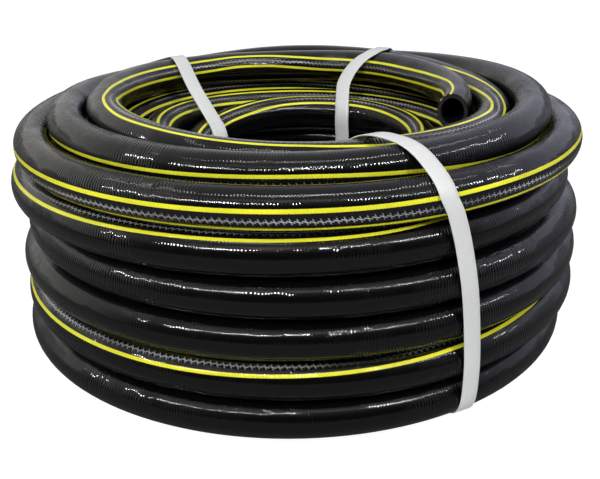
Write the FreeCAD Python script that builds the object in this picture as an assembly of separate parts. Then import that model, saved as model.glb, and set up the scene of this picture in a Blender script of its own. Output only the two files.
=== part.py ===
"""Coil of reinforced garden hose, tied with three flat straps.

Frame: millimetres, +Z up, origin on the floor under the middle of the coil, +X to the right and
+Y to the back of the coil as it is looked at from the front.

The hose is one unbroken tube. It starts at the open end on top, runs two loops in the middle of
the top, goes down the outside as a column of loops, one row a turn, and then fills the inside
with a pile of layers that spiral in and out by turns. The last loops lie loose on the pile and
the other end hangs down inside.
"""
import FreeCAD
import Part
import math
import os
from FreeCAD import Vector

# Hose
HOSE_DIAMETER = 26.0
HOSE_BORE = 19.0

# Coil: the radius is that of the hose's centre line in the outside column
COIL_RADIUS = 194.0
COLUMN_ROWS = 6
TURN_GAP = 0.8

# Pile inside the column
PILE_LAYERS = 4
PILE_QUARTERS = 8
PILE_INSET = 7.6
PILE_SIDE_GAP = 4.1
PILE_RISE_GAP = 3.2

# Straps: width and thickness of the tape, its clear space to the hose, and the heat-sealed lap
STRAP_WIDTH = 12.0
STRAP_THICKNESS = 0.8
STRAP_CLEARANCE = 0.5
LAP_LENGTH = 40.0

# Strap planes: azimuth where a strap crosses the outside loops, and its turn from the radius
STRAP_PLACES = {
    "strap_front": (297.0, 10.5),
    "strap_back_left": (128.5, 0.0),
    "strap_back_right": (64.0, 0.0),
}

# Stations of the hose are a quarter turn apart: 0 is at the right, 1 at the back, 2 at the left
# and 3 at the front. A place is (loops in from the outside, rows up from the floor).
TOP_LOOPS = ((2.0, 5.43), (1.0, 5.48))
OPEN_END = {0.22: (2.84, 5.21)}
LEANS = {
    2: (0.03, 0.28),
    4: (-0.12, 0.0),
    5: (0.01, 0.02),
    8: (-0.12, 0.02),
    9: (0.02, 0.13),
    10: (0.09, 0.0),
    11: (0.09, 0.0),
    12: (0.0, -0.05),
    13: (-0.19, 0.06),
    14: (-0.11, 0.0),
    16: (0.30, -0.02),
    17: (0.15, 0.08),
    18: (0.26, 0.0),
    20: (-0.04, 0.0),
    21: (0.17, 0.0),
    24: (-0.08, 0.0),
    25: (-0.10, 0.0),
    28: (-0.10, 0.0),
    29: (-0.20, 0.0),
    30: (-0.08, 0.0),
    32: (0.23, 0.0),
}
LOOSE_LOOPS = {
    73: (1.67, 4.42),
    74: (2.27, 4.67),
    75: (2.34, 4.33),
    76: (2.42, 4.26),
    77: (2.71, 4.36),
    78: (3.31, 4.63),
    79: (3.35, 4.33),
    80: (3.67, 4.33),
    81: (3.78, 4.36),
    82: (4.26, 3.98),
    83: (4.43, 3.77),
    83.4: (4.48, 3.66),
}

# Step of the points that measure the hose's gap to itself and its places under the straps
SAMPLE_STEP = 3.0


def pitch():
    """From one loop to the next beside or above it."""
    return HOSE_DIAMETER + TURN_GAP


def lowest_row():
    """Height of the centre line of the lowest loops, which rest on the straps."""
    return HOSE_DIAMETER / 2 + STRAP_CLEARANCE + STRAP_THICKNESS


def column_stations():
    """Places of the top loops and of the column, four to a loop."""
    loops = list(TOP_LOOPS) + [(0, row) for row in reversed(range(COLUMN_ROWS))]
    places = {}
    for turn, (inward, up) in enumerate(loops):
        for quarter in range(1, 5):
            station = 4 * turn + quarter
            lean_in, lean_up = LEANS.get(station, (0, 0))
            places[station] = (inward + lean_in, up + lean_up)
    return places


def pile_stations(station):
    """Layers that spiral in and out at a steady rate and climb in the half turn between them."""
    drift = (HOSE_DIAMETER + PILE_SIDE_GAP) / pitch() / 4
    rise = (HOSE_DIAMETER + PILE_RISE_GAP) / pitch()
    inward = 1 + PILE_INSET / pitch()
    up = 0
    places = {}
    for layer in range(PILE_LAYERS):
        for quarter in range(PILE_QUARTERS):
            places[station] = (inward, up)
            inward += drift
            station += 1
        places[station] = (inward, up)
        places[station + 1] = (inward, up + rise / 2)
        station += 2
        up += rise
        drift = -drift
    return places


def hose_stations():
    """Every station of the route with its (radius, height)."""
    places = dict(OPEN_END)
    places.update(column_stations())
    places.update(pile_stations(max(places) + 1))
    places.update(LOOSE_LOOPS)
    return {
        station: (COIL_RADIUS - pitch() * inward, lowest_row() + pitch() * up)
        for station, (inward, up) in sorted(places.items())
    }


def steady_slopes(stations, values):
    """Slopes that let the values pass from station to station without overshooting."""
    steps = [
        (after - before) / (end - start)
        for before, after, start, end in zip(values, values[1:], stations, stations[1:])
    ]
    slopes = [steps[0]]
    for before, after in zip(steps, steps[1:]):
        same_way = before * after > 0
        slopes.append(2 * before * after / (before + after) if same_way else 0)
    slopes.append(steps[-1])
    return slopes


def route_points():
    """Points of the centre line at the stations, each with its direction."""
    places = hose_stations()
    stations = list(places)
    radii = [radius for radius, height in places.values()]
    heights = [height for radius, height in places.values()]
    radius_slopes = steady_slopes(stations, radii)
    height_slopes = steady_slopes(stations, heights)
    points = []
    for index, station in enumerate(stations):
        angle = math.pi / 2 * station
        outward = Vector(math.cos(angle), math.sin(angle), 0)
        along = Vector(-math.sin(angle), math.cos(angle), 0)
        point = outward * radii[index] + Vector(0, 0, heights[index])
        direction = along * (math.pi / 2 * radii[index]) + outward * radius_slopes[index]
        direction += Vector(0, 0, height_slopes[index])
        points.append((point, direction.normalize()))
    return points


def arc_between(start, corner, end):
    """Arc that leaves start towards the corner and arrives at end from it."""
    middle = (start + end) * 0.5
    bulge = corner - middle
    half = (end - start).Length / 2
    if bulge.Length < 1e-7:
        return Part.LineSegment(start, end).toShape()
    radius = (corner - start).Length * half / bulge.Length
    sagitta = radius - math.sqrt(max(radius * radius - half * half, 0))
    return Part.Arc(start, middle + bulge.normalize() * sagitta, end).toShape()


def biarc(start, start_way, end, end_way):
    """Two tangent arcs from one point and direction to the next."""
    chord = end - start
    spread = 2 * (1 - start_way.dot(end_way))
    forward = chord.dot(start_way + end_way)
    root = math.sqrt(forward * forward + spread * chord.dot(chord))
    leg = chord.dot(chord) / (forward + root)
    first_corner = start + start_way * leg
    second_corner = end - end_way * leg
    joint = (first_corner + second_corner) * 0.5
    return [arc_between(start, first_corner, joint), arc_between(joint, second_corner, end)]


def hose_path():
    """Centre line of the hose: arcs from station to station, straight at both ends."""
    points = route_points()
    first, first_way = points[0]
    last, last_way = points[-1]
    edges = [Part.LineSegment(first - first_way * HOSE_DIAMETER, first).toShape()]
    for (start, start_way), (end, end_way) in zip(points, points[1:]):
        edges += biarc(start, start_way, end, end_way)
    edges.append(Part.LineSegment(last, last + last_way * HOSE_DIAMETER).toShape())
    return Part.Wire(edges)


def points_along(wire, step):
    """Points of a wire about a step apart, each with its distance along it."""
    found = []
    travelled = 0
    for edge in wire.OrderedEdges:
        count = max(1, math.ceil(edge.Length / step))
        for number in range(count):
            distance = edge.Length * number / count
            found.append((travelled + distance, edge.valueAt(edge.getParameterByLength(distance))))
        travelled += edge.Length
    return found


def report_gap(path):
    """Print the least clear space between the hose and itself."""
    samples = points_along(path, SAMPLE_STEP)
    cells = {}
    for along, point in samples:
        key = tuple(int(value // pitch()) for value in point)
        cells.setdefault(key, []).append((along, point))
    least = math.inf
    near_by = [(i, j, k) for i in (-1, 0, 1) for j in (-1, 0, 1) for k in (-1, 0, 1)]
    for (x, y, z), members in cells.items():
        others = [item for i, j, k in near_by for item in cells.get((x + i, y + j, z + k), [])]
        for along, point in members:
            for other_along, other in others:
                if other_along - along > 3 * HOSE_DIAMETER:
                    least = min(least, point.distanceToPoint(other))
    gap = round(least - HOSE_DIAMETER, 2)
    print("hose length", round(path.Length, 1), "least gap to itself", gap)


def pipe(path, diameter):
    """Round bar along the path."""
    edge = path.OrderedEdges[0]
    start = edge.FirstParameter
    circle = Part.Circle(edge.valueAt(start), edge.tangentAt(start), diameter / 2)
    maker = Part.BRepOffsetAPI.MakePipeShell(path)
    maker.add(Part.Wire(circle.toShape()))
    maker.build()
    maker.makeSolid()
    return maker.shape()


def is_flat(face):
    return isinstance(face.Surface, Part.Plane)


def make_hose(path):
    """Tube with its bore from end to end: outer wall, inner wall and two end rings."""
    outer = pipe(path, HOSE_DIAMETER)
    inner = pipe(path, HOSE_BORE)
    walls = [face for face in outer.Faces + inner.Faces if not is_flat(face)]
    mouths = [face for face in inner.Faces if is_flat(face)]
    rings = []
    for disc in filter(is_flat, outer.Faces):
        mouth = min(mouths, key=lambda face: (face.CenterOfMass - disc.CenterOfMass).Length)
        rings += disc.cut(mouth).Faces
    return Part.Solid(Part.Shell(walls + rings))


def strap_frame(azimuth, turn):
    """Where a strap crosses the outside loops, and the flat directions along and across it."""
    angle = math.radians(azimuth)
    place = Vector(COIL_RADIUS * math.cos(angle), COIL_RADIUS * math.sin(angle), 0)
    heading = angle + math.pi + math.radians(turn)
    inward = Vector(math.cos(heading), math.sin(heading), 0)
    return place, inward, Vector(-inward.y, inward.x, 0)


def crossings(path, place, inward, across):
    """Places (inward, up) of the hose under the middle and both edges of a strap.

    A strap cuts a loop that it crosses askew in an ellipse, so each place is widened to its ends.
    """
    found = []
    samples = [point - place for along, point in points_along(path, SAMPLE_STEP)]
    for edge in (-STRAP_WIDTH / 2, 0, STRAP_WIDTH / 2):
        for before, after in zip(samples, samples[1:]):
            side_before, side_after = before.dot(across) - edge, after.dot(across) - edge
            if side_before * side_after <= 0 and side_before != side_after:
                share = side_before / (side_before - side_after)
                point = before + (after - before) * share
                way = (after - before).normalize()
                slant = math.hypot(way.dot(inward), way.z) or 1
                wider = HOSE_DIAMETER / 2 * (1 / abs(way.dot(across)) - 1) / slant
                if point.dot(inward) < COIL_RADIUS:
                    for reach in (-wider, wider):
                        spot = point + way * reach
                        found.append((spot.dot(inward), spot.z))
    return found


def outline(points):
    """Convex outline of flat points, anticlockwise."""
    def half(ordered):
        chain = []
        for x, y in ordered:
            while len(chain) > 1:
                (ax, ay), (bx, by) = chain[-2:]
                if (bx - ax) * (y - ay) - (by - ay) * (x - ax) > 0:
                    break
                chain.pop()
            chain.append((x, y))
        return chain[:-1]
    ordered = sorted(points)
    return half(ordered) + half(ordered[::-1])


def lap_section(corners, depth):
    """Second layer of tape where its ends are sealed, halfway along the innermost run."""
    runs = zip(corners, corners[1:] + corners[:1])
    start, end = max(runs, key=lambda run: run[0][0] + run[1][0])
    length = math.dist(start, end)
    along = ((end[0] - start[0]) / length, (end[1] - start[1]) / length)
    outward = (along[1], -along[0])
    middle = ((start[0] + end[0]) / 2, (start[1] + end[1]) / 2)
    half = LAP_LENGTH / 2
    top = depth + STRAP_THICKNESS
    places = ((-half, depth), (half, depth), (half, top), (-half, top))
    return [
        (
            middle[0] + along[0] * forward + outward[0] * out,
            middle[1] + along[1] * forward + outward[1] * out,
        )
        for forward, out in places
    ]


def make_strap(path, azimuth, turn):
    """Flat tape pulled tight round all loops on one side, with its ends sealed one on the other."""
    place, inward, across = strap_frame(azimuth, turn)
    corners = outline(crossings(path, place, inward, across))
    inside = HOSE_DIAMETER / 2 + STRAP_CLEARANCE
    outside = inside + STRAP_THICKNESS

    def ring(flat_points):
        points = [place + inward * x + Vector(0, 0, z) for x, z in flat_points]
        return Part.makePolygon(points + points[:1])

    centres = ring(corners)
    band = Part.Face([centres.makeOffset2D(outside), centres.makeOffset2D(inside)])
    lap = Part.Face(ring(lap_section(corners, outside)))
    tape = band.extrude(across * STRAP_WIDTH).fuse(lap.extrude(across * STRAP_WIDTH))
    tape.translate(across * (-STRAP_WIDTH / 2))
    return tape.removeSplitter().Solids[0]


def main():
    os.makedirs("parts", exist_ok=True)
    path = hose_path()
    report_gap(path)
    make_hose(path).exportStep("parts/hose.step")
    for name, (azimuth, turn) in STRAP_PLACES.items():
        make_strap(path, azimuth, turn).exportStep("parts/" + name + ".step")


if __name__ == "__main__":
    main()
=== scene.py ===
"""Coil of garden hose tied with three straps: finish, stage and camera, laid out as an add-on."""
import bpy
import functools
import math
from bpy.props import FloatProperty, FloatVectorProperty, IntProperty, PointerProperty
from mathutils import Matrix, Vector


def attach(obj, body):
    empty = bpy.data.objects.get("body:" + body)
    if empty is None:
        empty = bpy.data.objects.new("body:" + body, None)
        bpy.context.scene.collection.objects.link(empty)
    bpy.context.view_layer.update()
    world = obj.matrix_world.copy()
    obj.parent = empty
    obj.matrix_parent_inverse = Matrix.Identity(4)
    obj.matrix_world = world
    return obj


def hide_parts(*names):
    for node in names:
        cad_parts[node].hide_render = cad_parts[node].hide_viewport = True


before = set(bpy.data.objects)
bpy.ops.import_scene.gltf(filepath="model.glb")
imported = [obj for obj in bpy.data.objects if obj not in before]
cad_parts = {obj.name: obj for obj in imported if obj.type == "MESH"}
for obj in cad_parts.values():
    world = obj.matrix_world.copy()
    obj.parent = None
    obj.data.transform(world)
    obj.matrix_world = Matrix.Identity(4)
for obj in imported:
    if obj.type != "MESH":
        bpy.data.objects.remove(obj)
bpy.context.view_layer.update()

bl_info = {
    "name": "Coil of garden hose",
    "version": (1, 0, 0),
    "blender": (4, 5, 0),
    "location": "3D View > Sidebar > Hose",
    "description": "Makes a strapped coil of reinforced garden hose with its stage",
    "category": "Object",
}

# Sizes in metres, as in the solids
COIL_RADIUS = 0.194
COLUMN_ROWS = 6
TURN_GAP = 0.0008
PILE_LAYERS = 4
PILE_QUARTERS = 8
PILE_INSET = 0.0076
PILE_SIDE_GAP = 0.0041
PILE_RISE_GAP = 0.0032
STRAP_CLEARANCE = 0.0005
LAP_LENGTH = 0.040

# The route's stations, a quarter turn apart, as (inward, up) in pitches from one loop to the next.
# Station 0 is at the right, 1 at the back, 2 at the left and 3 at the front, 4 at the right again.
# The top loops run from the inside out, and the rows of the column from the top down.
TOP_LOOPS = ((2.0, 5.43), (1.0, 5.48))
OPEN_END = {-0.16: (2.883, 5.425), 0.03: (2.735, 5.53), 0.2: (2.70, 5.60), 0.5: (2.60, 5.66)}
SHOULDER = {5.5: (1.04, 5.31)}
# How far a station leans from its loop's own place
LEANS = {
    1: (0.05, 0.06),
    2: (0.03, 0.28),
    3: (0.0, -0.07),
    4: (-0.235, -0.16),
    5: (0.01, 0.02),
    7: (0.0, -0.05),
    8: (-0.23, 0.05),
    9: (0.02, 0.13),
    10: (0.09, 0.0),
    11: (0.09, 0.0),
    12: (-0.02, -0.06),
    13: (-0.19, 0.06),
    14: (-0.11, 0.0),
    16: (0.30, -0.02),
    17: (0.15, 0.08),
    18: (0.26, 0.0),
    20: (-0.04, 0.0),
    21: (0.17, 0.0),
    24: (-0.08, 0.0),
    25: (-0.10, 0.0),
    28: (-0.10, 0.0),
    29: (-0.20, 0.0),
    30: (-0.08, 0.0),
    32: (0.23, 0.0),
}
# The inner end lies in loose loops in the coil's eye
LOOSE_LOOPS = {
    73: (1.67, 4.42),
    74: (2.27, 4.67),
    75: (2.34, 4.33),
    76: (2.42, 4.26),
    77: (2.71, 4.36),
    78: (3.31, 4.63),
    79: (3.35, 4.33),
    80: (3.67, 4.33),
    81: (3.78, 4.36),
    82: (4.26, 3.98),
    83: (4.43, 3.77),
    83.4: (4.48, 3.66),
}

# How the hose is turned about its own line: the side that the window between the stripes faces at
# a station, in degrees from straight outward, up over the top. Each loop starts on a new line.
WINDOW_TURN = {
    -0.16: -240, 0: -225, 0.1: -210, 0.22: -198, 0.44: -187, 0.84: -194, 1: -204, 1.12: -213,
    1.24: -215, 1.38: -208, 1.6: -203, 1.75: -204, 1.94: -210, 2.05: -221, 2.14: -235, 2.23: -256,
    2.32: -267, 2.42: -272, 2.6: -267, 2.8: -266, 3: -268, 3.1: -274, 3.3: -287, 3.5: -297,
    3.7: -302, 3.8: -289, 3.88: -273,
    4: -255, 4.3: -228, 5: -180, 5.7: -90, 6.3: -30, 6.6: -21, 7: -12, 7.2: -21, 7.45: -45, 7.6: -55,
    8: -50, 9: -30, 10: -23, 10.5: -20, 11: -16, 11.14: -15, 11.27: -12, 11.41: -7, 11.67: -3,
    12: 1, 13: 28, 14: 60, 14.5: 73, 14.8: 83, 15: 85, 15.14: 89, 15.27: 102, 15.5: 120,
    16: 140, 18: 165,
    20: 200,
    24: 300, 26: 415, 26.8: 419, 27: 423, 27.2: 431, 27.4: 445,
    28: 480, 30: 500, 34: 520, 68: 810,
    72: 840, 73: 840, 74: 845,
    76: 845, 77: 852, 78: 842, 79: 845,
    80: 838, 80.6: 828, 81: 834, 81.4: 848, 82: 850, 83.4: 850,
}
# Half of the window's angle to the stripes' middles, where tension and pressure widen or narrow it
WINDOW_SPREAD = {
    0: 21, 6: 22, 8: 27, 10: 29.5, 10.8: 28.5, 11.2: 28, 11.6: 25, 12: 24, 14: 25, 28: 25,
    72: 22, 83: 22,
}

# Straps: azimuth where one crosses the outside loops, its turn from the radius, and how far it sways
# to the side at directions round the middle of the coil's section, in degrees and metres
SECTION_MIDDLE = (0.045, 0.090)
STRAP_PLACES = {
    "strap_front": (297.4, 0.0, {
        0: -0.004, 50: 0.010, 66: 0.022, 74: 0.0235, 82: 0.0215, 92: 0.0185, 102: 0.0160,
        115: 0.0128, 126: 0.0125, 132: 0.0115, 138: 0.0075, 145: 0.0040, 154: 0.0010,
        175: -0.0035, 205: -0.0075, 229: -0.0095, 270: -0.009, 360: -0.004,
    }),
    "strap_back_left": (131.5, -9.0, {
        0: -0.005, 50: -0.005, 75: -0.002, 95: 0.001, 180: 0.001, 300: -0.004, 360: -0.005,
    }),
    "strap_back_right": (62.0, -2.0, {
        0: 0.006, 16: 0.006, 32: 0.0055, 43: 0.0015, 52: -0.0015, 58: -0.0005, 63: 0.0020,
        68: 0.0065, 73: 0.0120, 80: 0.0140, 90: 0.0095, 101: 0.0040, 118: -0.0060, 150: -0.009,
        230: -0.006, 360: 0.006,
    }),
}
# Where a stiff strap stands off the loops, inward and up, as the middle of a hose that held it there
STAND_OFF = {"strap_front": [(0.0505, 0.1600)]}

# Camera: its place, tilt and roll, the picture's width and its focal length in pixels, and where
# its axis meets the picture
CAMERA_DISTANCE = 0.6903
CAMERA_TARGET_HEIGHT = 0.0545
CAMERA_TILT = math.radians(22.22)
CAMERA_ROLL = math.radians(-1.09)
PICTURE_SIZE = (600, 479)
FOCAL_PIXELS = 867.8
AXIS_PIXEL = (298.0, 234.3)

# Lamps: the height they look at, and for each its azimuth from the front, elevation, distance,
# size and colour
LAMP_TARGET_HEIGHT = 0.09
LAMPS = {
    "lamp_left": (-33, 36, 1.6, (0.20, 0.07), (1, 1, 1)),
    "lamp_right": (50, 38, 1.6, (0.14, 0.07), (1, 1, 1)),
    "lamp_front": (-3, 50, 1.6, (1.1, 0.30), (0.97, 1.0, 0.90)),
    "lamp_top": (14, 76, 1.5, (1.0, 0.05), (1, 1, 1)),
}

# Studio: what the gloss sees in front, at both far sides and above, and the soft light.
# Bench: the floor in the gloss, as soft light, and under the shadow.
STUDIO_FRONT = (0.02, 0.02, 0.02, 1)
STUDIO_LEFT = (0.80, 0.79, 0.76, 1)
STUDIO_RIGHT = (0.62, 0.63, 0.76, 1)
STUDIO_ABOVE = (0.42, 0.415, 0.43, 1)
STUDIO_SOFT = (0.55, 0.55, 0.55, 1)
BENCH_GLOSS = (0.14, 0.14, 0.145, 1)
BENCH_SOFT = (0.75, 0.75, 0.75, 1)
BENCH_SHADOW = (0.85, 0.85, 0.85, 1)
WHITE = (1.0, 1.0, 1.0, 1.0)

# Floor: half its width, its glow to the camera, and the glow's share over the shadow
FLOOR_REACH = 6.0
FLOOR_GLOW = 1.22
FLOOR_GLOW_SHARE = 0.78


class HoseSettings(bpy.types.PropertyGroup):
    """Sizes and colours of the hose."""
    diameter: FloatProperty(name="Outside diameter", description="Across the outside of the hose",
                            default=0.026, min=0.01, max=0.05, unit="LENGTH")
    bore: FloatProperty(name="Bore", description="Across the hole through the hose",
                        default=0.019, min=0.005, max=0.045, unit="LENGTH")
    sides: IntProperty(name="Sides", description="Faces around the outside", default=36, min=12)
    bore_sides: IntProperty(name="Bore sides", description="Faces around the bore", default=18,
                            min=9)
    stripe_spread: FloatProperty(name="Stripe spread", subtype="ANGLE",
                                 description="From the window's middle to a stripe's middle",
                                 default=math.radians(25))
    stripe_width: FloatProperty(name="Stripe width", description="Width of a stripe",
                                default=0.0023, unit="LENGTH")
    ripple_pitch: FloatProperty(name="Ripple pitch", description="Length of a cross ripple",
                                default=0.0019, unit="LENGTH")
    stitch_pitch: FloatProperty(name="Stitch pitch", description="Length of a stitch of the knit",
                                default=0.0040, unit="LENGTH")
    cover_colour: FloatVectorProperty(name="Cover", description="Colour of the outer wall",
                                      subtype="COLOR", size=4, default=(0.0018, 0.0018, 0.0020, 1))
    stripe_colour: FloatVectorProperty(name="Stripes", description="Colour of the two stripes",
                                       subtype="COLOR", size=4, default=(0.72, 0.70, 0.03, 1))
    # Colour of the knit's rungs and of the painted glint: a toothed bright line along the window's
    # middle stands for light glancing off the yarn
    knit_and_glint_colour: FloatVectorProperty(name="Yarn", description="Colour of the knit in the window",
                                     subtype="COLOR", size=4, default=(0.42, 0.42, 0.45, 1))


class StrapSettings(bpy.types.PropertyGroup):
    """Sizes and colour of the straps."""
    width: FloatProperty(name="Width", description="Width of the tape", default=0.012,
                         unit="LENGTH")
    thickness: FloatProperty(name="Thickness", description="Thickness of the tape",
                             default=0.0008, unit="LENGTH")
    colour: FloatVectorProperty(name="Tape", description="Colour of the tape", subtype="COLOR",
                                size=4, default=(0.56, 0.57, 0.57, 1))


class StageSettings(bpy.types.PropertyGroup):
    """Powers of the lamps."""
    left_power: FloatProperty(name="Left lamp", default=12.0,
                              description="Power of the lamp at the front left")
    right_power: FloatProperty(name="Right lamp", default=8.0,
                               description="Power of the lamp at the front right")
    front_power: FloatProperty(name="Front lamp", description="Power of the wide dim lamp in front",
                               default=1.0)
    top_power: FloatProperty(name="Top lamp", description="Power of the soft lamp above",
                             default=5.0)


def hose():
    return bpy.context.scene.coil_hose


def strap():
    return bpy.context.scene.coil_strap


def stage_settings():
    return bpy.context.scene.coil_stage


# Route of the hose

def pitch():
    """From one loop to the next beside or above it."""
    return hose().diameter + TURN_GAP


def floor_height():
    return hose().diameter / 2 + STRAP_CLEARANCE + strap().thickness


def column_stations():
    """Places of the top loops and of the column, four to a loop."""
    loops = list(TOP_LOOPS) + [(0, row) for row in reversed(range(COLUMN_ROWS))]
    places = {}
    for turn, (inward, up) in enumerate(loops):
        for quarter in range(1, 5):
            station = 4 * turn + quarter
            lean_in, lean_up = LEANS.get(station, (0, 0))
            places[station] = (inward + lean_in, up + lean_up)
    return places


def pile_stations(station):
    """Layers that spiral in and out at a steady rate and climb in the half turn between them."""
    drift = (hose().diameter + PILE_SIDE_GAP) / pitch() / 4
    rise = (hose().diameter + PILE_RISE_GAP) / pitch()
    inward = 1 + PILE_INSET / pitch()
    up = 0
    places = {}
    for layer in range(PILE_LAYERS):
        for quarter in range(PILE_QUARTERS):
            places[station] = (inward, up)
            inward += drift
            station += 1
        places[station] = (inward, up)
        places[station + 1] = (inward, up + rise / 2)
        station += 2
        up += rise
        drift = -drift
    return places


def hose_stations():
    """Every station of the route with its radius and height."""
    places = dict(OPEN_END)
    places.update(column_stations())
    places.update(SHOULDER)
    places.update(pile_stations(max(places) + 1))
    places.update(LOOSE_LOOPS)
    return {
        station: (COIL_RADIUS - pitch() * inward, floor_height() + pitch() * up)
        for station, (inward, up) in sorted(places.items())
    }


def gentle(share):
    """A share from 0 to 1 that starts and ends gently."""
    return share * share * (3 - 2 * share)


def steady_slopes(stations, values):
    """Slopes that let the values pass from station to station without overshooting."""
    steps = [
        (after - before) / (end - start)
        for before, after, start, end in zip(values, values[1:], stations, stations[1:])
    ]
    slopes = [steps[0]]
    for before, after in zip(steps, steps[1:]):
        slopes.append(2 * before * after / (before + after) if before * after > 0 else 0)
    slopes.append(steps[-1])
    return slopes


def steady_curve(table):
    """Function that passes smoothly through a table of station: value."""
    stations = sorted(table)
    values = [table[station] for station in stations]
    slopes = steady_slopes(stations, values)

    def value_at(station):
        station = min(max(station, stations[0]), stations[-1])
        index = max(i for i in range(len(stations) - 1) if stations[i] <= station)
        span = stations[index + 1] - stations[index]
        t = (station - stations[index]) / span
        rise = values[index + 1] - values[index]
        start = t * (1 - t) * (1 - t) * span * slopes[index]
        end = t * t * (t - 1) * span * slopes[index + 1]
        return values[index] + rise * gentle(t) + start + end
    return value_at


# Control points in a quarter turn, and the straight run at the open end with its second point
POINTS_PER_QUARTER = 6
OPEN_END_RUN = 0.002
OPEN_END_NEAR = 0.4


def route_points():
    """Control points of the hose's line, worked out turn by turn, straight at both ends."""
    places = hose_stations()
    radius_at = steady_curve({station: place[0] for station, place in places.items()})
    height_at = steady_curve({station: place[1] for station, place in places.items()})
    first, last = min(places), max(places)
    count = round((last - first) * POINTS_PER_QUARTER)
    step = (last - first) / count

    def point_at(station, outset=1.0):
        angle = math.pi / 2 * station
        radius = radius_at(station) * outset
        return Vector((radius * math.cos(angle), radius * math.sin(angle), height_at(station)))

    outset = 1 / math.cos(math.pi / 4 * step)
    middle = [point_at(first + (number + 0.5) * step, outset) for number in range(count)]
    start, end = point_at(first), point_at(last)
    start_way = (start - middle[0]).normalized()
    end_way = (end - middle[-1]).normalized()
    half_step = (middle[1] - middle[0]).length / 2
    run = start_way * OPEN_END_RUN
    return ([start + run, start + run * OPEN_END_NEAR] + middle
            + [end + end_way * half_step, end + end_way * hose().diameter])


def read_line(points):
    """Points of the smooth line with these control points, as its spline gives them."""
    curve = bpy.data.curves.new("hose_line", "CURVE")
    curve.dimensions = "3D"
    curve.resolution_u = 6
    spline = curve.splines.new("NURBS")
    spline.points.add(len(points) - 1)
    for control, point in zip(spline.points, points):
        control.co = (*point, 1)
    spline.order_u = 3
    spline.use_endpoint_u = True
    holder = bpy.data.objects.new("hose_line", curve)
    mesh = bpy.data.meshes.new_from_object(holder)
    line = [vertex.co.copy() for vertex in mesh.vertices]
    bpy.data.meshes.remove(mesh)
    bpy.data.objects.remove(holder)
    bpy.data.curves.remove(curve)
    return line


class Line:
    """The hose's line with its directions, the station and the length at each point."""

    def __init__(self, points):
        self.points = points
        last = len(points) - 1
        self.ways = [
            (points[min(i + 1, last)] - points[max(i - 1, 0)]).normalized()
            for i in range(len(points))
        ]
        self.along = [0.0]
        for before, after in zip(points, points[1:]):
            self.along.append(self.along[-1] + (after - before).length)
        self.stations = []
        turns = 0
        before = 0.0
        for point in points:
            quarter = math.atan2(point.y, point.x) / (math.pi / 2)
            if quarter + turns < before - 2:
                turns += 4
            self.stations.append(quarter + turns)
            before = quarter + turns


@functools.cache
def hose_line():
    """The hose's line, read once."""
    return Line(read_line(route_points()))


def section_sides(line):
    """At each point of the line: the outward side and the upper side of the hose."""
    sides = []
    for point, way in zip(line.points, line.ways):
        outward = Vector((point.x, point.y, 0)).normalized()
        outward = (outward - way * outward.dot(way)).normalized()
        upward = outward.cross(way)
        if upward.z < 0:
            upward.negate()
        sides.append((outward, upward))
    return sides


# Meshes

def new_piece(name, verts, faces, materials):
    mesh = bpy.data.meshes.new(name)
    mesh.from_pydata(verts, [], faces)
    mesh.update()
    for material in materials:
        mesh.materials.append(material)
    piece = bpy.data.objects.new(name, mesh)
    bpy.context.scene.collection.objects.link(piece)
    return piece


def shade_smooth(mesh, flat_materials=()):
    for polygon in mesh.polygons:
        polygon.use_smooth = polygon.material_index not in flat_materials


# Rounding of the cut ends' edges, and how far along it the ring between its two ends lies
EDGE_ROUND = 0.0005
EDGE_SHARE = 0.3
# The tight bend at the open end squeezes the hose: its width and height there, to those when round,
# and how far along the hose that is felt
END_SQUEEZE = (0.87, 1.06)
SQUEEZE_REACH = 0.09
# Materials of the hose, as numbers of their slots
COVER, BORE, CUT = 0, 1, 2


def hose_rings(line, sides, count, radius):
    """Rings of points around the line, the first point of each opposite the window's middle."""
    turn_at = steady_curve(WINDOW_TURN)
    spread_at = steady_curve(WINDOW_SPREAD)
    even_spread = hose().stripe_spread
    rings = []
    for index, station in enumerate(line.stations):
        squeeze = gentle(max(1 - line.along[index] / SQUEEZE_REACH, 0))
        wide, high = (1 + (value - 1) * squeeze for value in END_SQUEEZE)
        outward, upward = sides[index][0] * wide, sides[index][1] * high
        turn = math.radians(turn_at(station))
        widening = (math.radians(spread_at(station)) - even_spread) / math.sin(even_spread)
        ring = []
        for number in range(count):
            even = 2 * math.pi * (number / count - 0.5)
            angle = turn + even + widening * math.sin(even)
            way = outward * math.cos(angle) + upward * math.sin(angle)
            ring.append(line.points[index] + way * radius)
        rings.append(ring)
    return rings


def moved_ring(ring, centre, way, push, scale):
    """Copy of an end ring, pushed along the hose and scaled about its centre."""
    return [centre + (point - centre) * scale + way * push for point in ring]


def rounded_ends(line, rings, edge_scale):
    """The rings with two more at each cut end, where the wall's edge rounds off."""
    last = len(rings) - 1
    edge_steps = ((0.0, edge_scale), (EDGE_SHARE, 1 - (1 - edge_scale) * EDGE_SHARE))
    ends = []
    for index, sign in ((0, 1), (last, -1)):
        centre = line.points[index]
        way = line.ways[index] * sign
        ends.append([
            moved_ring(rings[index], centre, way, EDGE_ROUND * push, scale)
            for push, scale in edge_steps
        ])
        rings[index] = moved_ring(rings[index], centre, way, EDGE_ROUND, 1)
    return [*ends[0], *rings, *reversed(ends[1])]


def wall_faces(start, count, along, outside):
    """Faces through rings of count points from vertex start on, with their places on the map."""
    faces = []
    corners = []
    for index in range(len(along) - 1):
        for number in range(count):
            square = [(number, index), (number + 1, index),
                      (number + 1, index + 1), (number, index + 1)]
            if outside:
                square.reverse()
            faces.append([start + ring * count + place % count for place, ring in square])
            corners.extend((place / count, along[ring]) for place, ring in square)
    return faces, corners


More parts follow.
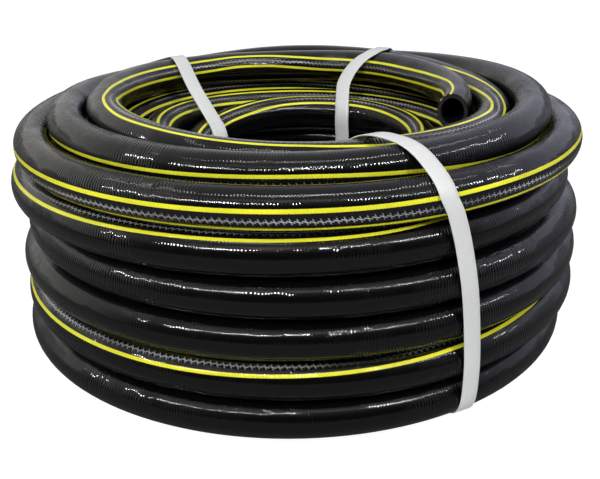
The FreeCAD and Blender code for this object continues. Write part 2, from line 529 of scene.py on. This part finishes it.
def rim_faces(outer_start, outer_count, inner_start, inner_count, far):
    """Faces of a cut end, each between one bore side and the outer sides over it."""
    share = outer_count // inner_count
    faces = []
    for number in range(inner_count):
        after = (number + 1) % inner_count
        face = [outer_start + (number * share + step) % outer_count for step in range(share + 1)]
        face += [inner_start + after, inner_start + number]
        if far:
            face.reverse()
        faces.append(face)
    return faces


def build_hose(line):
    """Tube with its bore and cut ends. Its map runs around it and along it, in real sizes."""
    settings = hose()
    sides = section_sides(line)
    outer_count, inner_count = settings.sides, settings.bore_sides
    outer_radius = settings.diameter / 2
    inner_radius = settings.bore / 2
    outer = rounded_ends(line, hose_rings(line, sides, outer_count, outer_radius),
                         1 - EDGE_ROUND / outer_radius)
    inner = rounded_ends(line, hose_rings(line, sides, inner_count, inner_radius),
                         1 + EDGE_ROUND / inner_radius)
    verts = [point for ring in outer + inner for point in ring]
    along = [0.0, 0.0, *line.along, line.along[-1], line.along[-1]]
    inner_start = len(outer) * outer_count
    faces, corners = wall_faces(0, outer_count, along, True)
    kinds = [COVER] * len(faces)
    inner_faces, inner_corners = wall_faces(inner_start, inner_count, along, False)
    faces += inner_faces
    corners += inner_corners
    kinds += [BORE] * len(inner_faces)
    for end in (0, 1):
        rim = rim_faces((len(outer) - 1) * outer_count * end, outer_count,
                        inner_start + (len(inner) - 1) * inner_count * end, inner_count, end == 1)
        faces += rim
        corners.extend((0.0, 0.0) for face in rim for _ in face)
        kinds += [CUT] * len(rim)
    piece = new_piece("hose_cover", verts, faces,
                      [cover_material(), bore_material(), cut_material()])
    mesh = piece.data
    for polygon, kind in zip(mesh.polygons, kinds):
        polygon.material_index = kind
    shade_smooth(mesh, (CUT,))
    layer = mesh.uv_layers.new(name="wrap")
    flat = [value for corner in corners for value in corner]
    layer.uv.foreach_set("vector", flat)
    return piece


# Straps

def strap_frame(azimuth, turn):
    """Where a strap crosses the outside loops, and the flat directions along and across it."""
    angle = math.radians(azimuth)
    place = Vector((math.cos(angle), math.sin(angle), 0)) * COIL_RADIUS
    heading = angle + math.pi + math.radians(turn)
    inward = Vector((math.cos(heading), math.sin(heading), 0))
    return place, inward, Vector((-inward.y, inward.x, 0))


def sway_at(sway, place_in, height):
    """How far to the side the strap's middle stands at a place of the coil's section."""
    direction = math.atan2(height - SECTION_MIDDLE[1], place_in - SECTION_MIDDLE[0])
    return sway(math.degrees(direction) % 360)


def crossings(line, place, inward, across, sway):
    """Places (inward, up) of the hose under a strap's middle and edges. Where it crosses at a slant
    its section is wider, so each crossing gives a place to each side of its middle."""
    found = []
    width = strap().width
    samples = [point - place for point in line.points]
    asides = [
        sample.dot(across) - sway_at(sway, sample.dot(inward), sample.z) for sample in samples
    ]
    for edge in (-width / 2, 0, width / 2):
        for index in range(len(samples) - 1):
            side_before, side_after = asides[index] - edge, asides[index + 1] - edge
            before, after = samples[index], samples[index + 1]
            if side_before * side_after <= 0 and side_before != side_after:
                share = side_before / (side_before - side_after)
                point = before + (after - before) * share
                way = (after - before).normalized()
                slant = math.hypot(way.dot(inward), way.z) or 1
                wider = hose().diameter / 2 * (1 / abs(way.dot(across)) - 1) / slant
                if point.dot(inward) < COIL_RADIUS:
                    for reach in (-wider, wider):
                        spot = point + way * reach
                        found.append((spot.dot(inward), spot.z))
    return found


def outline(points):
    """Convex outline of flat points, anticlockwise."""
    def half(ordered):
        chain = []
        for x, y in ordered:
            while len(chain) > 1:
                (ax, ay), (bx, by) = chain[-2:]
                if (bx - ax) * (y - ay) - (by - ay) * (x - ax) > 0:
                    break
                chain.pop()
            chain.append((x, y))
        return chain[:-1]
    ordered = sorted(points)
    return half(ordered) + half(ordered[::-1])


def tape_line(corners, radius, step):
    """Line of the tape round circles at the corners, with its outward side, evenly spaced."""
    marks = []
    count = len(corners)
    for index, corner in enumerate(corners):
        before = corners[index - 1]
        after = corners[(index + 1) % count]
        start = math.atan2(corner[1] - before[1], corner[0] - before[0]) - math.pi / 2
        end = math.atan2(after[1] - corner[1], after[0] - corner[0]) - math.pi / 2
        end += 2 * math.pi * math.ceil((start - end) / (2 * math.pi) - 1e-9)
        pieces = max(1, math.ceil((end - start) * radius / step))
        for number in range(pieces + 1):
            angle = start + (end - start) * number / pieces
            marks.append((corner[0] + radius * math.cos(angle),
                          corner[1] + radius * math.sin(angle), angle))
    line = []
    for (x, y, angle), (next_x, next_y, next_angle) in zip(marks, marks[1:] + marks[:1]):
        length = math.hypot(next_x - x, next_y - y)
        pieces = max(1, round(length / step))
        if length < step * 0.2:
            continue
        swing = (next_angle - angle + math.pi) % (2 * math.pi) - math.pi
        for number in range(pieces):
            share = number / pieces
            line.append((x + (next_x - x) * share, y + (next_y - y) * share,
                         angle + swing * share))
    return line


# Step along the tape, rounding of its edges as a share of its thickness, lift of its softened line
# that clears the hose, and steps to each side that soften a corner
TAPE_STEP = 0.002
TAPE_ROUND = 0.25
TAPE_EASE = 0.0009
TAPE_REACH = 5
# For the lap's place: how much a level side counts, and the bend up to which the tape is straight
LAP_LEVEL = 0.01
LAP_STRAIGHT = 0.02


def eased(line, reach):
    """The tape's closed line with its corners softened over a few points to each side."""
    count = len(line)
    soft = []
    for index in range(count):
        near = [line[(index + step) % count] for step in range(-reach, reach + 1)]
        base = near[reach][2]
        swing = sum((mark[2] - base + math.pi) % (2 * math.pi) - math.pi for mark in near)
        angle = base + swing / len(near)
        soft.append((sum(mark[0] for mark in near) / len(near) + TAPE_EASE * math.cos(angle),
                     sum(mark[1] for mark in near) / len(near) + TAPE_EASE * math.sin(angle),
                     angle))
    return soft


def tape_rings(line, place, inward, across, sway, lift):
    """Sections of the tape: a flat bar with rounded edges, lifted off the line by lift."""
    width = strap().width
    thick = strap().thickness
    round_off = thick * TAPE_ROUND
    shape = [
        (-width / 2 + round_off, 0), (-width / 2, round_off),
        (-width / 2, thick - round_off), (-width / 2 + round_off, thick),
        (-width / 4, thick), (0, thick), (width / 4, thick),
        (width / 2 - round_off, thick), (width / 2, thick - round_off),
        (width / 2, round_off), (width / 2 - round_off, 0), (0, 0),
    ]
    rings = []
    for x, z, angle in line:
        base = place + inward * x + Vector((0, 0, z)) + across * sway_at(sway, x, z)
        out = inward * math.cos(angle) + Vector((0, 0, math.sin(angle)))
        rings.append([base + across * side + out * (depth + lift) for side, depth in shape])
    return rings


def swept(rings, closed):
    """Vertices and faces of a bar through rings."""
    verts = [point for ring in rings for point in ring]
    count = len(rings[0])
    faces = []
    spans = len(rings) if closed else len(rings) - 1
    for index in range(spans):
        after_ring = (index + 1) % len(rings)
        for number in range(count):
            after = (number + 1) % count
            faces.append([index * count + number, index * count + after,
                          after_ring * count + after, after_ring * count + number])
    if not closed:
        faces.append(list(range(count))[::-1])
        faces.append([(len(rings) - 1) * count + number for number in range(count)])
    return verts, faces


def build_strap(name, line, azimuth, turn, sway):
    """One strap with its sealed lap."""
    place, inward, across = strap_frame(azimuth, turn)
    sway = steady_curve(sway)
    corners = outline(crossings(line, place, inward, across, sway) + STAND_OFF.get(name, []))
    radius = hose().diameter / 2 + STRAP_CLEARANCE
    tape = eased(tape_line(corners, radius, TAPE_STEP), TAPE_REACH)
    verts, faces = swept(tape_rings(tape, place, inward, across, sway, 0), True)
    # The lap lies on the straight run in the coil's eye, where the tape faces most level inward
    inner = max(range(len(tape)), key=lambda i: tape[i][0] - abs(tape[i][2]) * LAP_LEVEL)
    straight = [i for i in range(len(tape)) if abs(tape[i][2] - tape[inner][2]) < LAP_STRAIGHT]
    middle = straight[len(straight) // 2]
    reach = round(LAP_LENGTH / TAPE_STEP / 2)
    lap = [tape[i % len(tape)] for i in range(middle - reach, middle + reach + 1)]
    lap_verts, lap_faces = swept(
        tape_rings(lap, place, inward, across, sway, strap().thickness), False)
    faces += [[index + len(verts) for index in face] for face in lap_faces]
    piece = new_piece(name + "_tape", verts + lap_verts, faces, [tape_material()])
    shade_smooth(piece.data)
    return piece


# Shader tools

class Nodes:
    """Short ways to place and join nodes in one tree."""

    def __init__(self, tree):
        self.tree = tree
        self.column = 0

    def add(self, kind, inputs=None, **settings):
        node = self.tree.nodes.new(kind)
        self.column += 1
        node.location = (180 * (self.column % 12), -240 * (self.column // 12))
        for key, value in settings.items():
            setattr(node, key, value)
        for key, value in (inputs or {}).items():
            self.feed(value, node.inputs[key])
        return node

    def feed(self, value, socket):
        if isinstance(value, bpy.types.NodeSocket):
            self.tree.links.new(value, socket)
        else:
            socket.default_value = value

    def math(self, operation, *values):
        return self.add("ShaderNodeMath", dict(enumerate(values)), operation=operation).outputs[0]

    def mix(self, share, low, high):
        node = self.add("ShaderNodeMix", data_type="RGBA")
        self.feed(share, node.inputs["Factor"])
        self.feed(low, node.inputs[6])
        self.feed(high, node.inputs[7])
        return node.outputs[2]

    def ramp(self, value, low, high):
        """0 below low, 1 above high, smooth between."""
        node = self.add("ShaderNodeMapRange", {"Value": value, "From Min": low, "From Max": high},
                        interpolation_type="SMOOTHSTEP")
        return node.outputs["Result"]

    def span(self, value, low, high, start=0.0, end=1.0):
        """Low at start, high at end, straight between."""
        node = self.add("ShaderNodeMapRange", {"Value": value, "From Min": start, "From Max": end,
                                               "To Min": low, "To Max": high})
        return node.outputs["Result"]

    def off(self, value):
        """What is left of 1 when value is taken off."""
        return self.math("SUBTRACT", 1.0, value)

    def bump(self, height, distance, strength=1.0):
        node = self.add("ShaderNodeBump", {"Height": height, "Strength": strength,
                                           "Distance": distance})
        return node.outputs[0]

    def vector(self, x, y, z):
        return self.add("ShaderNodeCombineXYZ", {"X": x, "Y": y, "Z": z}).outputs[0]

    def noise(self, vector, scale, detail=2.0, roughness=0.5):
        node = self.add("ShaderNodeTexNoise", {
            "Vector": vector, "Scale": scale, "Detail": detail, "Roughness": roughness})
        return node.outputs["Fac"]


def node_group(name, inputs, outputs):
    """New shader group with float sockets; returns it with its nodes and its two ends."""
    group = bpy.data.node_groups.new(name, "ShaderNodeTree")
    for socket, default in inputs:
        made = group.interface.new_socket(name=socket, in_out="INPUT",
                                          socket_type="NodeSocketFloat")
        made.default_value = default
    for socket in outputs:
        group.interface.new_socket(name=socket, in_out="OUTPUT", socket_type="NodeSocketFloat")
    nodes = Nodes(group)
    return group, nodes, nodes.add("NodeGroupInput"), nodes.add("NodeGroupOutput")


# Materials

def wall_ripples():
    """Fine cross ripples that extrusion leaves in the wall, as a height, and where they are strong.
    Their steps drift round and along the hose, so they aren't as even as a thread."""
    name = "wall_ripples"
    if name in bpy.data.node_groups:
        return bpy.data.node_groups[name]
    group, nodes, ends, out = node_group(
        name, (("Around", 0.0), ("Along", 0.0), ("Pitch", 0.0019), ("Diameter", 0.026)),
        ("Height", "Strength"))
    around = nodes.math("MULTIPLY", ends.outputs["Around"], 2 * math.pi)
    reach = nodes.math("DIVIDE", ends.outputs["Diameter"], 2)
    side = nodes.math("MULTIPLY", nodes.math("COSINE", around), reach)
    front = nodes.math("MULTIPLY", nodes.math("SINE", around), reach)
    steps = nodes.math("DIVIDE", ends.outputs["Along"], ends.outputs["Pitch"])
    drift_round, drift_along, drift_steps = 90.0, 0.22, 1.7
    drift_place = nodes.vector(nodes.math("MULTIPLY", side, drift_round),
                               nodes.math("MULTIPLY", front, drift_round),
                               nodes.math("MULTIPLY", steps, drift_along))
    drift = nodes.math("MULTIPLY", nodes.noise(drift_place, 1.0, 1.0, 0.4), drift_steps)
    phase = nodes.math("MULTIPLY", nodes.math("ADD", steps, drift), 2 * math.pi)
    ripple = nodes.math("MULTIPLY", nodes.math("SINE", phase), 0.5)
    patch_round, patch_along = 40.0, 30.0
    patch_place = nodes.vector(nodes.math("MULTIPLY", side, patch_round),
                               nodes.math("MULTIPLY", front, patch_round),
                               nodes.math("MULTIPLY", ends.outputs["Along"], patch_along))
    nodes.feed(ripple, out.inputs["Height"])
    nodes.feed(nodes.ramp(nodes.noise(patch_place, 1.0), 0.36, 0.64), out.inputs["Strength"])
    return group


def fine_grain():
    """Fine even grain of moulded or extruded plastic, from the place on the surface."""
    name = "fine_grain"
    if name in bpy.data.node_groups:
        return bpy.data.node_groups[name]
    group, nodes, ends, out = node_group(name, (("Scale", 900.0),), ("Grain", "Patches"))
    place = nodes.add("ShaderNodeTexCoord").outputs["Object"]
    grain = nodes.noise(place, ends.outputs["Scale"], 3.0, 0.6)
    patches = nodes.noise(place, 14.0, 3.0, 0.55)
    nodes.feed(nodes.span(grain, 0.0, 1.0, 0.3, 0.7), out.inputs["Grain"])
    nodes.feed(nodes.ramp(patches, 0.35, 0.65), out.inputs["Patches"])
    return group


def add_group(nodes, group, **values):
    node = nodes.add("ShaderNodeGroup", node_tree=group)
    for key, value in values.items():
        nodes.feed(value, node.inputs[key])
    return node


def new_material(name):
    material = bpy.data.materials.new(name)
    material.use_nodes = True
    tree = material.node_tree
    tree.nodes.clear()
    nodes = Nodes(tree)
    shader = nodes.add("ShaderNodeBsdfPrincipled")
    output = nodes.add("ShaderNodeOutputMaterial")
    tree.links.new(shader.outputs[0], output.inputs[0])
    return material, nodes, shader


def dimmed(colour, share):
    """The colour with its light cut to a share."""
    return (*(value * share for value in colour[:3]), 1)


def grained_material(name, scale, low, high, rough):
    """Plastic between two colours and two roughnesses, with its nodes, its shader and its grain."""
    material, nodes, shader = new_material(name)
    grain = add_group(nodes, fine_grain(), Scale=scale).outputs
    nodes.feed(nodes.mix(grain["Patches"], low, high), shader.inputs["Base Color"])
    nodes.feed(nodes.span(grain["Grain"], *rough), shader.inputs["Roughness"])
    return material, nodes, shader, grain["Grain"]


def window_knit_and_glint(nodes, offset, along, stitch):
    """Mask of the knit under the window: slanting rungs, the knit's own pattern, and a toothed
    bright line along it, the yarn painted light as a glint.
    """
    # How far it wanders aside, the rungs' slant and the teeth's size
    wander_reach, slant, tooth_height = 0.0022, 0.45, 0.0010
    wander = nodes.noise(nodes.vector(0.0, 0.0, nodes.math("MULTIPLY", along, 60.0)), 1.0)
    wander = nodes.math("MULTIPLY", nodes.math("SUBTRACT", wander, 0.5), wander_reach)
    side = nodes.math("ADD", offset, wander)
    slanted = nodes.math("ADD", along, nodes.math("MULTIPLY", side, slant))
    step = nodes.math("FRACT", nodes.math("DIVIDE", slanted, stitch))
    centred = nodes.math("SUBTRACT", step, 0.5)
    rung = nodes.off(nodes.ramp(nodes.math("ABSOLUTE", centred), 0.05, 0.13))
    rung_end = nodes.off(nodes.ramp(nodes.math("ABSOLUTE", side), 0.0010, 0.0024))
    rung = nodes.math("MULTIPLY", rung, rung_end)
    # Painted glint: the toothed bright line along the window's middle, lighter than the rungs,
    # stands for light glancing off the yarn
    tooth = nodes.math("ADD", side, nodes.math("MULTIPLY", centred, tooth_height))
    yarn_and_glint = nodes.off(nodes.ramp(nodes.math("ABSOLUTE", tooth), 0.00015, 0.00055))
    knit_and_glint = nodes.math("MAXIMUM", nodes.math("MULTIPLY", yarn_and_glint, 0.9),
                      nodes.math("MULTIPLY", rung, 0.7))
    # Here and there the wall hazes over it
    haze_place = nodes.vector(0.0, 7.0, nodes.math("MULTIPLY", along, 9.0))
    haze = nodes.ramp(nodes.noise(haze_place, 1.0, 3.0), 0.32, 0.62)
    return nodes.math("MULTIPLY", knit_and_glint, haze)


def cover_material():
    """Black wall with two stripes and, between them, a clear window over the knit, with a painted
    glint line along the knit's middle.
    """
    settings = hose()
    material, nodes, shader = new_material("hose_cover")
    wrap = nodes.add("ShaderNodeUVMap", uv_map="wrap").outputs[0]
    split = nodes.add("ShaderNodeSeparateXYZ", {"Vector": wrap})
    around, along = split.outputs["X"], split.outputs["Y"]
    girth = math.pi * settings.diameter
    # Distance round the hose from the window's middle, in metres
    offset = nodes.math("MULTIPLY", nodes.math("SUBTRACT", around, 0.5), girth)
    aside = nodes.math("ABSOLUTE", offset)
    spread = settings.stripe_spread * settings.diameter / 2
    half = settings.stripe_width / 2
    # Softness of the stripes' edges, width of their dark seam, and where the window fades out
    soft, seam, fade_start, fade_end = 0.00018, 0.0007, 0.0006, 0.0002
    from_stripe = nodes.math("ABSOLUTE", nodes.math("SUBTRACT", aside, spread))
    stripe = nodes.off(nodes.ramp(from_stripe, half - soft, half + soft))
    edge = spread - half
    window = nodes.off(nodes.ramp(aside, edge - fade_start, edge - fade_end))
    knit_and_glint = nodes.math("MULTIPLY", window_knit_and_glint(nodes, offset, along, settings.stitch_pitch), window)
    # Colour
    seam_colour, window_colour = (0.002, 0.002, 0.002, 1), (0.004, 0.004, 0.005, 1)
    clear_of_seam = nodes.ramp(from_stripe, half, half + seam)
    cover = nodes.mix(clear_of_seam, seam_colour, tuple(settings.cover_colour))
    below = nodes.mix(window, cover, window_colour)
    # The knit's rungs and the painted glint line along the window's middle both take the
    # knit-and-glint colour
    with_knit = nodes.mix(knit_and_glint, below, tuple(settings.knit_and_glint_colour))
    shade = nodes.noise(nodes.vector(offset, 0.0, nodes.math("MULTIPLY", along, 0.5)), 60.0)
    stripe_colour = nodes.mix(nodes.ramp(shade, 0.3, 0.7), dimmed(settings.stripe_colour, 0.82),
                              tuple(settings.stripe_colour))
    nodes.feed(nodes.mix(stripe, with_knit, stripe_colour), shader.inputs["Base Color"])
    # Gloss
    ripples = add_group(nodes, wall_ripples(), Around=around, Along=along,
                        Pitch=settings.ripple_pitch, Diameter=settings.diameter)
    grain = add_group(nodes, fine_grain(), Scale=1400.0)
    nodes.feed(nodes.span(grain.outputs["Patches"], 0.08, 0.12), shader.inputs["Roughness"])
    # Heights as shares of the bump's: ripples at their least and what they gain, grain, stripes
    bump_height, least, gain, grain_height, stripe_height = 0.00024, 0.30, 0.90, 0.03, 0.12
    strength = nodes.math("MULTIPLY", ripples.outputs["Strength"], gain)
    level = nodes.math("MULTIPLY", ripples.outputs["Height"], nodes.math("ADD", least, strength))
    level = nodes.math("ADD", level, nodes.math("MULTIPLY", grain.outputs["Grain"], grain_height))
    level = nodes.math("ADD", level, nodes.math("MULTIPLY", stripe, stripe_height))
    nodes.feed(nodes.bump(level, bump_height), shader.inputs["Normal"])
    shader.inputs["IOR"].default_value = 1.5
    shader.inputs["Specular IOR Level"].default_value = 0.5
    return material


def bore_material():
    """Inner wall of the hose: black and softer in gloss."""
    material, _, shader, _ = grained_material(
        "hose_bore", scale=700.0, low=(0.0035, 0.004, 0.0045, 1), high=(0.006, 0.0065, 0.007, 1),
        rough=(0.40, 0.50))
    shader.inputs["Specular IOR Level"].default_value = 0.3
    return material


def cut_material():
    """Cut end of the wall: dark, a little rough from the knife."""
    material, nodes, shader, grain = grained_material(
        "hose_cut", scale=1600.0, low=(0.012, 0.0125, 0.014, 1), high=(0.022, 0.023, 0.026, 1),
        rough=(0.28, 0.42))
    nodes.feed(nodes.bump(grain, 0.00006, 0.6), shader.inputs["Normal"])
    return material


def tape_material():
    """White polypropylene tape with a fine pressed pattern."""
    name = "strap_tape"
    if name in bpy.data.materials:
        return bpy.data.materials[name]
    colour = tuple(strap().colour)
    material, nodes, shader, grain = grained_material(
        name, scale=1100.0, low=dimmed(colour, 0.93), high=colour, rough=(0.38, 0.55))
    place = nodes.add("ShaderNodeTexCoord").outputs["Object"]
    thread_scale = (260.0, 260.0, 1500.0)
    stretched = nodes.add("ShaderNodeVectorMath", {0: place, 1: thread_scale},
                          operation="MULTIPLY").outputs[0]
    level = nodes.math("ADD", nodes.math("MULTIPLY", nodes.noise(stretched, 1.0), 0.6), grain)
    nodes.feed(nodes.bump(level, 0.00008, 0.5), shader.inputs["Normal"])
    shader.inputs["Subsurface Weight"].default_value = 0.12
    shader.inputs["Subsurface Scale"].default_value = 0.001
    return material


# Stage

def floor_material():
    """Floor: white to the camera but for the shadow, pale as soft light and dim in the gloss."""
    material = bpy.data.materials.new("floor")
    material.use_nodes = True
    tree = material.node_tree
    tree.nodes.clear()
    nodes = Nodes(tree)
    ray = nodes.add("ShaderNodeLightPath")
    bench_colour = nodes.mix(ray.outputs["Is Diffuse Ray"], BENCH_GLOSS, BENCH_SOFT)
    bench = nodes.add("ShaderNodeBsdfDiffuse", {"Color": bench_colour})
    shaded = nodes.add("ShaderNodeBsdfDiffuse", {"Color": BENCH_SHADOW})
    white = nodes.add("ShaderNodeEmission", {"Color": WHITE, "Strength": FLOOR_GLOW})
    seen = nodes.add("ShaderNodeMixShader", {
        "Fac": FLOOR_GLOW_SHARE, 1: shaded.outputs[0], 2: white.outputs[0]})
    both = nodes.add("ShaderNodeMixShader", {
        "Fac": ray.outputs["Is Camera Ray"], 1: bench.outputs[0], 2: seen.outputs[0]})
    output = nodes.add("ShaderNodeOutputMaterial")
    tree.links.new(both.outputs[0], output.inputs[0])
    return material


def set_world():
    """White to the camera, an even soft light to matt surfaces, and a dim studio, paler above and
    behind, to gloss."""
    world = bpy.data.worlds.new("studio")
    bpy.context.scene.world = world
    world.use_nodes = True
    tree = world.node_tree
    tree.nodes.clear()
    nodes = Nodes(tree)
    ray = nodes.add("ShaderNodeLightPath")
    way = nodes.add("ShaderNodeSeparateXYZ", {
        "Vector": nodes.add("ShaderNodeTexCoord").outputs["Generated"]})
    # Shares by direction: towards the back, to the right and up
    back = nodes.ramp(way.outputs["Y"], -0.65, 0.35)
    side = nodes.ramp(way.outputs["X"], -0.5, 0.5)
    above = nodes.ramp(way.outputs["Z"], 0.35, 1.0)
    far = nodes.mix(side, STUDIO_LEFT, STUDIO_RIGHT)
    low = nodes.mix(back, STUDIO_FRONT, far)
    room = nodes.mix(above, low, STUDIO_ABOVE)
    room = nodes.mix(ray.outputs["Is Diffuse Ray"], room, STUDIO_SOFT)
    clear = nodes.math("MAXIMUM", ray.outputs["Is Camera Ray"],
                       ray.outputs["Is Transmission Ray"])
    colour = nodes.mix(clear, room, WHITE)
    background = nodes.add("ShaderNodeBackground", {"Color": colour, "Strength": 1.0})
    output = nodes.add("ShaderNodeOutputWorld")
    tree.links.new(background.outputs[0], output.inputs[0])


def aim(position, target):
    """Matrix of something at position that looks at target, its top up."""
    way = (Vector(target) - Vector(position)).normalized()
    return Matrix.Translation(position) @ way.to_track_quat("-Z", "Y").to_matrix().to_4x4()


def add_lamp(name, power):
    """Area lamp aimed at the coil; azimuth 0 is at the front, positive to the right."""
    azimuth, elevation, distance, size, colour = LAMPS[name]
    data = bpy.data.lights.new(name, "AREA")
    data.shape = "RECTANGLE"
    data.size, data.size_y = size
    data.energy = power
    data.color = colour
    across, up = math.radians(azimuth), math.radians(elevation)
    target = Vector((0, 0, LAMP_TARGET_HEIGHT))
    position = target + distance * Vector((
        math.sin(across) * math.cos(up), -math.cos(across) * math.cos(up), math.sin(up)))
    lamp = bpy.data.objects.new(name, data)
    lamp.matrix_world = aim(position, target)
    bpy.context.scene.collection.objects.link(lamp)


def add_camera():
    """Camera of the picture: a little above the coil, tilted down and hardly rolled."""
    data = bpy.data.cameras.new("camera")
    data.sensor_fit = "HORIZONTAL"
    data.sensor_width = 36.0
    width, height = PICTURE_SIZE
    data.lens = data.sensor_width * FOCAL_PIXELS / width
    data.shift_x = (width / 2 - AXIS_PIXEL[0]) / width
    data.shift_y = (AXIS_PIXEL[1] - height / 2) / width
    data.clip_start = 0.01
    camera = bpy.data.objects.new("camera", data)
    forward = Vector((0, math.cos(CAMERA_TILT), -math.sin(CAMERA_TILT)))
    position = Vector((0, 0, CAMERA_TARGET_HEIGHT)) - forward * CAMERA_DISTANCE
    up = Vector((0, math.sin(CAMERA_TILT), math.cos(CAMERA_TILT)))
    right = Vector((1, 0, 0))
    rolled_right = right * math.cos(CAMERA_ROLL) + up * math.sin(CAMERA_ROLL)
    rolled_up = up * math.cos(CAMERA_ROLL) - right * math.sin(CAMERA_ROLL)
    turn = Matrix((rolled_right, rolled_up, -forward)).transposed().to_4x4()
    camera.matrix_world = Matrix.Translation(position) @ turn
    bpy.context.scene.collection.objects.link(camera)
    bpy.context.scene.camera = camera


# Add-on

class COIL_OT_hose(bpy.types.Operator):
    """Make the hose with its bore, stripes and cut ends"""
    bl_idname = "coil.make_hose"
    bl_label = "Hose"

    def execute(self, context):
        line = hose_line()
        piece = build_hose(line)
        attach(piece, "coil")
        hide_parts("hose")
        return {"FINISHED"}


class COIL_OT_straps(bpy.types.Operator):
    """Make the three straps round the coil"""
    bl_idname = "coil.make_straps"
    bl_label = "Straps"

    def execute(self, context):
        for name, (azimuth, turn, sway) in STRAP_PLACES.items():
            piece = build_strap(name, hose_line(), azimuth, turn, sway)
            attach(piece, "coil")
            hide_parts(name)
        return {"FINISHED"}


class COIL_OT_stage(bpy.types.Operator):
    """Make the floor, the lamps, the background and the camera"""
    bl_idname = "coil.make_stage"
    bl_label = "Stage"

    def execute(self, context):
        corners = [(x * FLOOR_REACH, y * FLOOR_REACH, 0) for x, y in
                   ((-1, -1), (1, -1), (1, 1), (-1, 1))]
        floor = new_piece("floor", corners, [[0, 1, 2, 3]], [floor_material()])
        set_world()
        settings = stage_settings()
        add_lamp("lamp_left", settings.left_power)
        add_lamp("lamp_right", settings.right_power)
        add_lamp("lamp_front", settings.front_power)
        add_lamp("lamp_top", settings.top_power)
        add_camera()
        context.scene.view_settings.view_transform = "Standard"
        return {"FINISHED"}


class COIL_PT_panel(bpy.types.Panel):
    """Lists what the add-on makes"""
    bl_label = "Coil of hose"
    bl_idname = "COIL_PT_panel"
    bl_space_type = "VIEW_3D"
    bl_region_type = "UI"
    bl_category = "Hose"

    def draw(self, context):
        for operator in OPERATORS:
            self.layout.operator(operator.bl_idname)
        for group in (hose(), strap(), stage_settings()):
            for name in group.__annotations__:
                self.layout.prop(group, name)


OPERATORS = (COIL_OT_hose, COIL_OT_straps, COIL_OT_stage)
GROUPS = {"coil_hose": HoseSettings, "coil_strap": StrapSettings, "coil_stage": StageSettings}


def register():
    for kind in (*GROUPS.values(), *OPERATORS, COIL_PT_panel):
        bpy.utils.register_class(kind)
    for name, kind in GROUPS.items():
        setattr(bpy.types.Scene, name, PointerProperty(type=kind))


def unregister():
    for name in GROUPS:
        delattr(bpy.types.Scene, name)
    for kind in (COIL_PT_panel, *reversed(OPERATORS), *reversed(list(GROUPS.values()))):
        bpy.utils.unregister_class(kind)


def main():
    register()
    bpy.ops.coil.make_hose()
    bpy.ops.coil.make_straps()
    bpy.ops.coil.make_stage()


if __name__ == "__main__":
    main()
